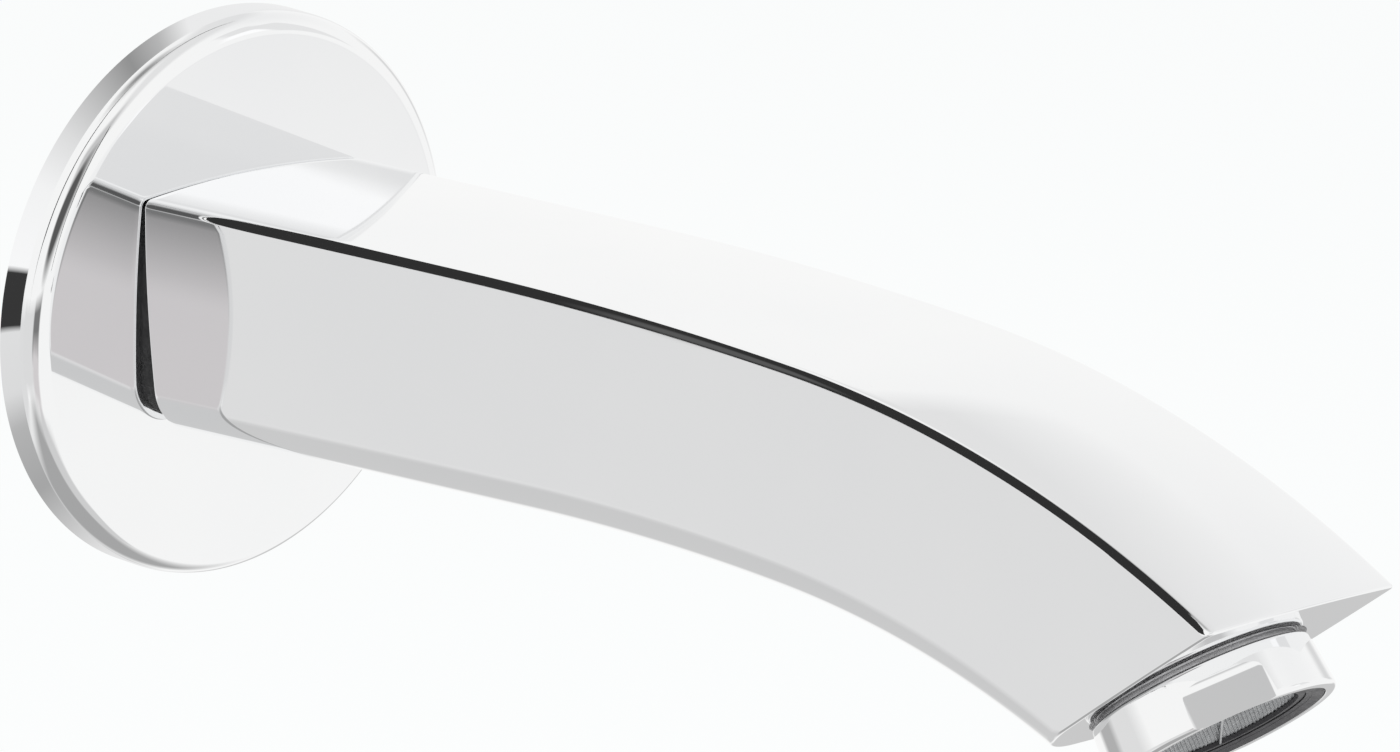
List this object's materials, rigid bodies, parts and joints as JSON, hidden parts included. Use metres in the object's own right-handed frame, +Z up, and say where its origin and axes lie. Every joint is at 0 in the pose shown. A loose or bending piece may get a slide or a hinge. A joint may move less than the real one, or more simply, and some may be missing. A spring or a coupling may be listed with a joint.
{
  "type": "wall spout",
  "caption": "Arched wall-mounted bath spout with a round wall flange, a threaded supply nipple and a screw-in aerator under its lip.",
  "frame": {"origin": "centre of the wall flange's back, on the supply thread's axis, in the plane of the wall", "axes": "+Y into the wall along the supply thread, +Z up, +X to the right when the spout is seen from the room; the spout reaches along -Y"},
  "size_m": [0.075, 0.2004, 0.075],
  "materials": {
    "chrome": "mirror polished chrome plate",
    "brass": "turned, unplated",
    "black_rubber": "moulded",
    "grey_foam": "closed-cell foam",
    "red_fibre": "pressed fibre",
    "steel": "plain stainless",
    "dark_plastic": "moulded",
    "pale_plastic": "moulded"
  },
  "bodies": {
    "root": {"wall_flange": "chrome", "wall_seal": "grey_foam", "grip_ring": "black_rubber", "body_seal": "black_rubber", "spout_body": "chrome", "connection_nipple": "brass", "nipple_washer": "red_fibre", "rear_oring": "black_rubber", "front_oring": "black_rubber", "grub_screw": "steel", "aerator_housing": "chrome", "aerator_gasket": "black_rubber", "insert_shell": "dark_plastic", "filter_dome": "pale_plastic", "regulator_core": "pale_plastic", "regulator_ring": "black_rubber", "jet_plate": "pale_plastic", "mixing_sleeve": "pale_plastic", "upper_screen": "steel", "upper_spacer": "pale_plastic", "middle_screen": "steel", "lower_spacer": "pale_plastic", "lower_screen": "steel"}
  },
  "joints": []
}
